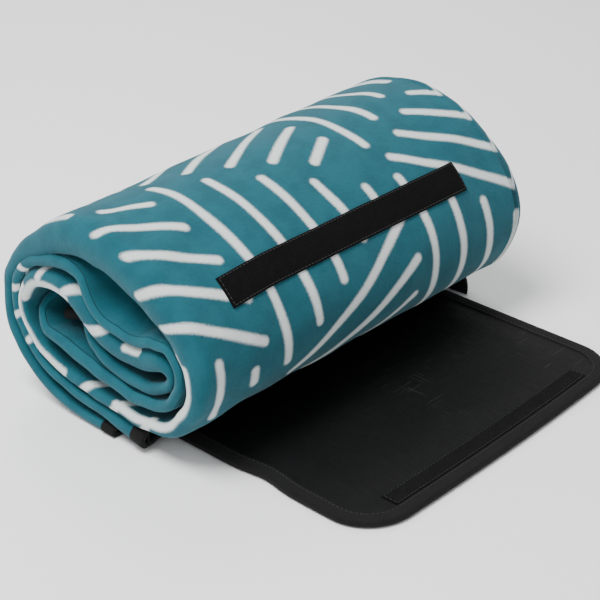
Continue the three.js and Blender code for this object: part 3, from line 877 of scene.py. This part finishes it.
def flap_place(x, y, z):
    """Flat places on the flap, in millimetres, to metres in the frame, with the cut's small unevenness."""
    x, y, z = np.broadcast_arrays(np.asarray(x, float), y, z)
    sideways = (x - MIDDLE_X) / HALF_WIDTH
    left = np.clip(-sideways, 0, 1)
    right = np.clip(sideways, 0, 1)
    nick = NICK_DEPTH * np.exp(-((y - NICK_Y) / NICK_REACH) ** 2)
    out_x = x + left * nick + right * (2.5 * np.clip((19 - y) / 200, 0, 1) - SLIMMER)
    front = np.clip((-90 - y) / 90, 0, 1)
    out_y = y + front * (FRONT_BOW * sideways ** 2 * np.where(sideways > 0, 1.25, 0.75))
    rise = ROOT_RISE * smoothstep(hinge_y[0] + 3, hinge_y[0] + 14, y)
    return np.stack([out_x, out_y, z + rise], axis=-1) * MM


def bend_strip(piece, i):
    """The piece lies between two panel middles and stays flat; its transform is baked into its mesh."""
    start, end = strip_ends[i]
    ahead = end if i < 4 else 2 * hinge_y[4] - start
    begin = start if i else 2 * hinge_y[0] - end
    begin * MM
    HINGE_Z * MM
    ahead * MM
    HINGE_Z * MM
    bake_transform(piece)
    return piece


print("flap strips:", [tuple(round(v) for v in ends) for ends in strip_ends])

# %% [markdown]
# The layers of the flap are a woven cover below, foam in the middle and a coated lining on top, which is the
# side that shows. The lining swells a little over the foam and is pulled down where the binding and the
# hook strip are sewn.

# %% Layers of the flap
HOOK_BOX = [[v / MM for v in corner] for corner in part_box("hook_strip")]


def swell(x, y):
    """0 at the seams and 1 in the middle of the flap."""
    side = np.minimum(x - FLAP_LEFT, FLAP_RIGHT - x) - BINDING_WIDTH
    front = y - HOOK_BOX[1][1]
    over = smoothstep(-1, 26, side) * smoothstep(-2, 22, front)
    dents = 0.78 + 0.16 * np.sin(x / 23 + 1.2 + 0.5 * np.sin(y / 19)) + 0.12 * np.sin(y / 13 + x / 41)
    return over * dents


def flap_layer(kind, i, low, high, over, columns=96):
    """One strip of one layer. over says how much of the swelling its top and bottom take."""
    back, front = strip_ends[i]
    edge = 0.8
    count = max(6, int((back - front) / 2.6))
    y = np.linspace(back, front + (edge if i == 4 else 0), count)
    share = np.linspace(0, 1, columns)
    inset = corner_cut(y, edge)[:, None]
    x = FLAP_LEFT + inset + (FLAP_RIGHT - FLAP_LEFT - 2 * inset) * share[None, :]
    y = np.broadcast_to(y[:, None], x.shape)
    lift = swell(x, y)
    top = flap_place(x, y, high + over[1] * lift)
    bottom = flap_place(x, y, low + over[0] * lift)
    piece = thick_sheet(f"{kind}_strip_{i + 1}", top, bottom, np.stack([x, y], axis=-1) * MM)
    nodes = [f"{kind}_{i + 1}"] + ([f"{kind.replace('flap_', 'flap_root_')}"] if i == 0 else [])
    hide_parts(*nodes)
    return bend_strip(piece, i)


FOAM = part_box("flap_stiffener_2")
linings = [flap_layer("flap_lining", i, LINING_HIGH - 0.5, LINING_HIGH, (1.3, 1.3)) for i in range(5)]
foams = [flap_layer("flap_stiffener", i, FOAM[0][2] / MM, FOAM[1][2] / MM, (0.1, 1.0), 40) for i in range(5)]
covers = [flap_layer("flap_cover", i, COVER_LOW, COVER_LOW + 0.5, (0.0, 0.0), 60) for i in range(5)]
print("flap layers:", len(linings), len(foams), len(covers))

# %% [markdown]
# The flap's edge is bound with twill tape, folded over all the layers. One outline is swept along the edge:
# straight down both sides, and round both corners and the front as a single piece.

# %% Flap binding
def binding_outline():
    """(distance in from the edge, height) of the folded tape."""
    low, high, cloth = BINDING_LOW, BINDING_HIGH, 0.7
    middle = (low + high) / 2
    half = (high - low) / 2
    nose = [(1.6 - 1.6 * math.cos(a), middle + half * math.sin(a)) for a in np.radians([60, 30, 0, -30, -60])]
    outer = [(BINDING_WIDTH - 0.2, high - 0.15), (7.0, high + 0.15), (3.0, high)] + nose + [(3.0, low)]
    inner = [(BINDING_WIDTH, low), (BINDING_WIDTH, low + cloth), (2.0, low + cloth), (1.4, middle),
             (2.0, high - cloth), (BINDING_WIDTH, high - cloth)]
    return outer + inner


def edge_rings(path):
    """Rings of the binding along (x, y, inward x, inward y) places on the flap's edge."""
    outline = np.array(binding_outline())
    inset, height = outline.T
    return [flap_place(x + inset * nx, y + inset * ny, height) for x, y, nx, ny in path]


def front_path(start):
    """Down the left side from start, round the corner, along the front and up the right side."""
    cx, cy = FLAP_LEFT + CORNER, FLAP_FRONT + CORNER
    path = [(FLAP_LEFT, y, 1, 0) for y in np.linspace(start, cy, 8)[:-1]]
    turn = np.linspace(0, math.pi / 2, 18)
    path += [(cx - CORNER * math.cos(a), cy - CORNER * math.sin(a), math.cos(a), math.sin(a)) for a in turn]
    rest = np.linspace(cx, FLAP_RIGHT - CORNER, 64)[1:-1]
    path += [(x, FLAP_FRONT, 0, 1) for x in rest]
    cx = FLAP_RIGHT - CORNER
    path += [(cx + CORNER * math.sin(a), cy - CORNER * math.cos(a), -math.sin(a), math.cos(a)) for a in turn]
    path += [(FLAP_RIGHT, y, -1, 0) for y in np.linspace(cy, start, 8)[1:]]
    return path


bindings = []
for i in range(4):
    back, front = strip_ends[i]
    back = min(back, hinge_y[0] + 2)  # the tape stops where the flap goes under the roll
    places = np.linspace(back, front, max(8, int((back - front) / 2.4)))
    for side, edge_x, inward in (("left", FLAP_LEFT, 1), ("right", FLAP_RIGHT, -1)):
        tape = band_piece(f"flap_tape_{side}_{i + 1}", edge_rings([(edge_x, y, inward, 0) for y in places]))
        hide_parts(f"flap_binding_{side}_{i + 1}")
        bindings.append(bend_strip(tape, i))
front_tape = band_piece("flap_tape_front", edge_rings(front_path(strip_ends[4][0])))
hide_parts("flap_binding_front")
bindings.append(bend_strip(front_tape, 4))
print("bindings:", len(bindings))

# %% [markdown]
# The hook strip is sewn just inside the front binding. It is thin stiff tape under a bed of hooks.

# %% Hook strip
def hook_rings():
    low_y, wide = HOOK_BOX[0][1], HOOK_BOX[1][1] - HOOK_BOX[0][1]
    y, height = np.array(strip_outline(wide, 1.0, 0.3, 10)).T
    places = np.linspace(HOOK_BOX[0][0], HOOK_BOX[1][0], 90)
    return [flap_place(np.full(len(y), x), low_y + y, LINING_HIGH + height) for x in places]


hook_strip = band_piece("hook_strip_pile", hook_rings())
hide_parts("hook_strip")
bend_strip(hook_strip, 4)
print("hook strip", round(HOOK_BOX[1][0] - HOOK_BOX[0][0]), "mm long")

# %% [markdown]
# The carry handle is flat webbing, sewn at both ends to the outside of the flap. While the flap is open the
# webbing lies flat between it and the ground; once the flap is closed it bows out far enough for a hand.
# It is made in two halves that meet in the middle, each a straight flat band.

# %% Carry handle
HANDLE_LEFT = [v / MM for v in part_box("handle_end_left")[0]]
HANDLE_RIGHT = [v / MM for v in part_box("handle_end_right")[1]]
GRIP_LOW, GRIP_HIGH = ([v / MM for v in corner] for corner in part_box("handle_grip"))
HANDLE_MIDDLE = (HANDLE_LEFT[0] + HANDLE_RIGHT[0]) / 2


def webbing_rings(start, end, count):
    wide = GRIP_HIGH[1] - GRIP_LOW[1]
    thick = GRIP_HIGH[2] - GRIP_LOW[2]
    outline = np.array(strip_outline(wide, thick / 2, thick / 2, 12))
    middle = (GRIP_HIGH[2] + GRIP_LOW[2]) / 2
    rings = []
    for x in np.linspace(start, end, count):
        y = GRIP_LOW[1] + outline[:, 0]
        rings.append(np.stack([np.full(len(y), x), y, middle + outline[:, 1]], axis=-1) * MM)
    return rings


handles = []
for side, outer_end, sewn_end, inward in (
        ("left", HANDLE_LEFT[0], GRIP_LOW[0], 1), ("right", HANDLE_RIGHT[0], GRIP_HIGH[0], -1)):
    half = band_piece(f"handle_webbing_{side}", webbing_rings(outer_end, HANDLE_MIDDLE, 70))
    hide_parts(f"handle_end_{side}", *(["handle_grip"] if side == "left" else []))
    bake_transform(half)
    handles.append(half)
print("handle", round(HANDLE_RIGHT[0] - HANDLE_LEFT[0]), "mm long")

# %% [markdown]
# Six kinds of black cloth meet on this object, and they differ only in weave and in how they shine. Twill
# tape has fine slanting ribs, webbing has coarse ones, the two halves of the closure are a bed of loops
# and a bed of hooks, the cover is plain woven, and the lining is coated cloth pressed to look like linen.

# %% Black cloths
def twill_look(name, rib, depth, face, groove_shade, roughness):
    """Slanting ribs, rib millimetres apart, with threads across them. Their grooves carry painted shade, and dust
    lightens spots.
    """
    look = Look(name, roughness=roughness, sheen=0.02, specular=0.22)
    across, along = look.cloth()
    turns = 2 * math.pi / rib
    ribs = ((across + along) * turns).sine() * 0.5 + 0.5
    threads = ((along - across) * (turns * 1.9)).sine() * 0.5 + 0.5
    uneven = look.noise(260.0, 2.0)
    dust = look.noise(38.0, 3.0)
    height = ribs * 0.75 + threads * 0.2 + uneven * 0.3
    # Painted shade: the low places between the ribs take the darker colour; the dust noise lightens spots.
    look.paint(look.mix(height * 0.7 + dust.step(0.45, 0.8) * 0.35, groove_shade, face))
    look.rough(uneven * 0.2 + (roughness - 0.1))
    look.emboss(height, depth, 0.6)
    return look.material


def pile_look(name, grain, depth, face, deep, roughness, sheen):
    """A bed of tiny loops or hooks, grain to the metre. The hollows between them carry painted shade."""
    look = Look(name, roughness=roughness, sheen=sheen, specular=0.12)
    cells = look.node("ShaderNodeTexVoronoi", None, {"Vector": look.place(), "Scale": grain}, "Distance")
    clumps = look.noise(grain * 0.18, 3.0)
    height = (1.0 - cells) * 0.7 + clumps * 0.5
    # Painted shade: the low places of the bed take the deep colour; the clumps vary it at random.
    look.paint(look.mix(height.step(0.4, 1.0), deep, face))
    look.emboss(height, depth, 0.7)
    return look.material


def woven_look(name, thread, depth, face, deep, roughness):
    """Plain weave: threads over and under, thread millimetres apart. Where a thread dips under, it carries painted
    shade.
    """
    look = Look(name, roughness=roughness, sheen=0.08, specular=0.35)
    across, along = look.cloth()
    turns = math.pi / thread
    over = (across * turns).sine() * (along * turns).sine()
    height = over * 0.5 + 0.5
    uneven = look.noise(70.0, 3.0)
    # Painted shade on the threads that dip under; the uneven noise varies the tone at random.
    look.paint(look.mix(height * 0.5 + uneven.step(0.35, 0.75) * 0.5, deep, face))
    look.rough(uneven * 0.18 + (roughness - 0.08))
    look.emboss(height * 0.7 + uneven * 0.5, depth, 0.6)
    return look.material


def linen_look():
    """Coated cloth pressed with a linen grain. The raised grain is painted lighter, and here and there a thin line
    along a thread is a painted highlight.
    """
    look = Look("embossed lining", roughness=0.62, sheen=0.0, specular=0.16)
    across, along = look.cloth()

    def streaks(fine_x, fine_y, shift):
        at = look.node("ShaderNodeCombineXYZ", None, {0: across * fine_x, 1: along * fine_y, 2: shift})
        return look.noise(1.0, 2.0, at)

    weft = streaks(0.045, 1.1, 0.0)
    warp = streaks(1.1, 0.045, 7.0)
    # Painted highlights: thin pale lines along the emboss threads, shown only in patches.
    glint_weft = streaks(0.022, 0.42, 3.0).step(0.655, 0.70)
    glint_warp = streaks(0.42, 0.022, 11.0).step(0.655, 0.70)
    glint_patches = look.noise(9.0, 2.0).step(0.46, 0.68)
    pale = glint_weft.at_least(glint_warp) * glint_patches
    grain = weft.at_least(warp)
    wear = look.noise(14.0, 3.0)
    # Painted highlight: the raised grain is lighter; the wear noise adds a random tone.
    highlit_grain_and_wear = grain.step(0.42, 0.72) * 0.6 + wear.step(0.3, 0.75) * 0.35
    base = look.mix(highlit_grain_and_wear, (0.0014, 0.0014, 0.0015), (0.0042, 0.0042, 0.0044))
    # The painted highlight lines lighten the base colour.
    look.paint(look.mix(pale * 0.8, base, (0.024, 0.024, 0.024)))
    look.rough((1.0 - grain) * 0.22 + 0.45 + wear * 0.06)
    look.emboss(grain * 0.8 + pale * 0.25, 0.0007, 0.65)
    return look.material


def foam_look(name, face, deep, grain):
    look = Look(name, roughness=0.95, specular=0.2)
    cells = look.noise(grain, 2.0)
    # Painted shade: the low cells of the bump take the deep colour.
    look.paint(look.mix(cells.step(0.3, 0.7), deep, face))
    look.emboss(cells, 0.0006, 0.6)
    return look.material


def dress(pieces, material):
    for piece in pieces:
        piece.data.materials.append(material)


twill = twill_look("twill binding tape", 1.3, 0.00022, (0.0075, 0.0075, 0.0075), (0.0025, 0.0025, 0.0025), 0.9)
loops = pile_look("loop pile", 900.0, 0.0006, (0.0045, 0.0045, 0.0047), (0.0014, 0.0014, 0.0015), 0.97, 0.01)
hooks = pile_look("hook pile", 620.0, 0.0005, (0.0055, 0.0055, 0.0057), (0.0018, 0.0018, 0.002), 0.85, 0.01)
woven = woven_look("woven cover", 0.55, 0.00025, (0.011, 0.011, 0.012), (0.005, 0.005, 0.0055), 0.75)
webbing = twill_look("webbing", 3.2, 0.0006, (0.01, 0.01, 0.0105), (0.0035, 0.0035, 0.004), 0.7)
coated = woven_look("coated backing", 0.7, 0.0002, (0.022, 0.023, 0.025), (0.012, 0.012, 0.013), 0.5)
foam = foam_look("foam sheet", (0.5, 0.5, 0.48), (0.38, 0.38, 0.37), 500.0)
fibres = foam_look("wadding fibres", (0.78, 0.79, 0.78), (0.6, 0.61, 0.6), 240.0)
for pieces, material, slot in (
        (tapes + bindings, twill, "binding"), ([loop_strip], loops, "loop_pile"),
        ([hook_strip], hooks, "hook_pile"), (covers, woven, "cover"), (handles, webbing, "webbing"),
        (linings, linen_look(), "lining"), (foams, foam, "stiffener"), ([wadding], fibres, "wadding"),
        ([backing], coated, "backing")):
    dress(pieces, material)
print("black cloths ready")

# %% [markdown]
# Stitches hold it together. One stitch is a short plump thread that dips at both ends. A row of them is one
# mesh: every stitch is a copy of the first, laid along a line of places on the cloth.

# %% Stitches
STITCH, STITCH_GAP, THREAD = 2.6, 0.9, 0.27


def stitch_shape():
    """Rings of one stitch lying along x: (along, sideways, up), from -1 to 1 along."""
    rings = []
    for t in (-1.0, -0.72, 0.0, 0.72, 1.0):
        radius = THREAD * (1.0 if abs(t) < 0.9 else 0.55)
        lift = THREAD * (0.9 - 1.5 * t * t)
        rings.append([(t * STITCH / 2, radius * math.cos(a), lift + radius * math.sin(a))
                      for a in np.linspace(0, 2 * math.pi, 6, endpoint=False)])
    return np.array(rings)


def stitch_row(name, lines, place):
    """Stitches along straight lines of the cloth. place turns flat (x, y, height) into metres."""
    shape = stitch_shape()
    rows, columns = shape.shape[:2]
    one = grid_faces(rows, columns, wrap=True).tolist()
    one += [list(range(columns))[::-1], [(rows - 1) * columns + c for c in range(columns)]]
    points, faces = [], []
    for (x0, y0), (x1, y1) in lines:
        length = math.hypot(x1 - x0, y1 - y0)
        count = max(1, int(length / (STITCH + STITCH_GAP)))
        ux, uy = (x1 - x0) / length, (y1 - y0) / length
        for i in range(count):
            middle = (i + 0.5) / count * length
            along = shape[..., 0] + middle
            offset = len(points) * rows * columns
            points.append(place(x0 + ux * along - uy * shape[..., 1], y0 + uy * along + ux * shape[..., 1],
                                shape[..., 2]).reshape(-1, 3))
            faces += [[v + offset for v in face] for face in one]
    uv = [[(0.0, 0.0)] * len(face) for face in faces]
    return make_piece(name, np.concatenate(points), faces, uv)


def on_binding(x, y, height):
    return flap_place(x, y, BINDING_HIGH - 0.1 + height)


def on_hooks(x, y, height):
    return flap_place(x, y, LINING_HIGH + 0.95 + height)


def on_loop(x, across, height):
    flat = [loop_point(a, np.array([b]), np.array([LOOP_THICK + h]))[0]
            for a, b, h in zip(np.ravel(x), np.ravel(across), np.ravel(height))]
    return np.array(flat)


def round_box(low, high):
    """The four straight seams round a strip."""
    corners = [tuple(low), (high[0], low[1]), tuple(high), (low[0], high[1])]
    return list(zip(corners, corners[1:] + corners[:1]))


seam_in = BINDING_WIDTH - 2.2
threads = []
for i in range(4):
    back, front = strip_ends[i]
    back = min(back, hinge_y[0])
    lines = [((x, back), (x, front)) for x in (FLAP_LEFT + seam_in, FLAP_RIGHT - seam_in)]
    threads.append(bend_strip(stitch_row(f"binding_stitches_{i + 1}", lines, on_binding), i))
corner_y = FLAP_FRONT + CORNER
inner_radius = CORNER - seam_in
turns = np.linspace(0, math.pi / 2, 13)
left_x, right_x = FLAP_LEFT + CORNER, FLAP_RIGHT - CORNER
left_turn = [(left_x - inner_radius * math.cos(a), corner_y - inner_radius * math.sin(a)) for a in turns]
right_turn = [(right_x + inner_radius * math.sin(a), corner_y - inner_radius * math.cos(a)) for a in turns]
front_line = ([(FLAP_LEFT + seam_in, strip_ends[4][0])] + left_turn + right_turn
              + [(FLAP_RIGHT - seam_in, strip_ends[4][0])])
front_stitches = stitch_row("binding_stitches_front", list(zip(front_line, front_line[1:])), on_binding)
threads.append(bend_strip(front_stitches, 4))
hook_low, hook_high = [v + 1.3 for v in HOOK_BOX[0][:2]], [v - 1.3 for v in HOOK_BOX[1][:2]]
threads.append(bend_strip(stitch_row("hook_stitches", round_box(hook_low, hook_high), on_hooks), 4))
loop_low, loop_high = (LOOP_ENDS[0] + 1.6, 1.5), (LOOP_ENDS[1] - 1.6, LOOP_WIDE - 1.5)
loop_threads = stitch_row("loop_stitches", round_box(loop_low, loop_high), on_loop)
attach(loop_threads, "root")
threads.append(loop_threads)
thread_look = Look("black thread", roughness=0.55, specular=0.4)
thread_look.paint(thread_look.mix(thread_look.noise(1800.0, 1.0), (0.008, 0.008, 0.009), (0.02, 0.02, 0.021)))
dress(threads, thread_look.material)
print("stitches:", sum(len(row.data.polygons) // 26 for row in threads))

# %% [markdown]
# The flat size each flap strip was cut to, the flap's width by the strip's length, is worked out here.

# %% Soft pieces
for i in range(5):
    back, front = strip_ends[i]
    cut = ((FLAP_RIGHT - FLAP_LEFT) * MM, (back - front) * MM)

# %% [markdown]
# A large soft lamp stands above and a little behind the near end, a faint one fills the shadows, and a third
# lifts the far edge. The white surroundings do most of the work, as they do on a studio table. The floor is
# only there for the picture.

# %% Studio
def area_light(name, place, aim, size, power):
    light = bpy.data.lights.new(name, "AREA")
    light.shape = "DISK"
    light.size = size
    light.energy = power
    lamp = bpy.data.objects.new(name, light)
    bpy.context.scene.collection.objects.link(lamp)
    lamp.location = place
    lamp.rotation_euler = (Vector(aim) - Vector(place)).to_track_quat("-Z", "Y").to_euler()


area_light("key", (-0.8, 0.15, 1.9), (0, 0, 0.08), 1.0, 58)
area_light("fill", (-1.9, -0.3, 1.2), (0, 0, 0.08), 1.6, 5)
area_light("back", (0.9, 1.3, 1.4), (0, 0, 0.05), 1.4, 14)
world = bpy.data.worlds.new("studio")
bpy.context.scene.world = world
world.use_nodes = True
world.node_tree.nodes["Background"].inputs["Color"].default_value = (1, 1, 1, 1)
world.node_tree.nodes["Background"].inputs["Strength"].default_value = 0.66
bpy.ops.mesh.primitive_plane_add(size=14, location=(0, 0, 0))
floor = bpy.context.active_object
floor.name = "floor"
floor_look = bpy.data.materials.new("pale floor")
floor_look.use_nodes = True
floor_look.node_tree.nodes["Principled BSDF"].inputs["Base Color"].default_value = (0.95, 0.95, 0.95, 1)
floor.data.materials.append(floor_look)
print("studio ready")
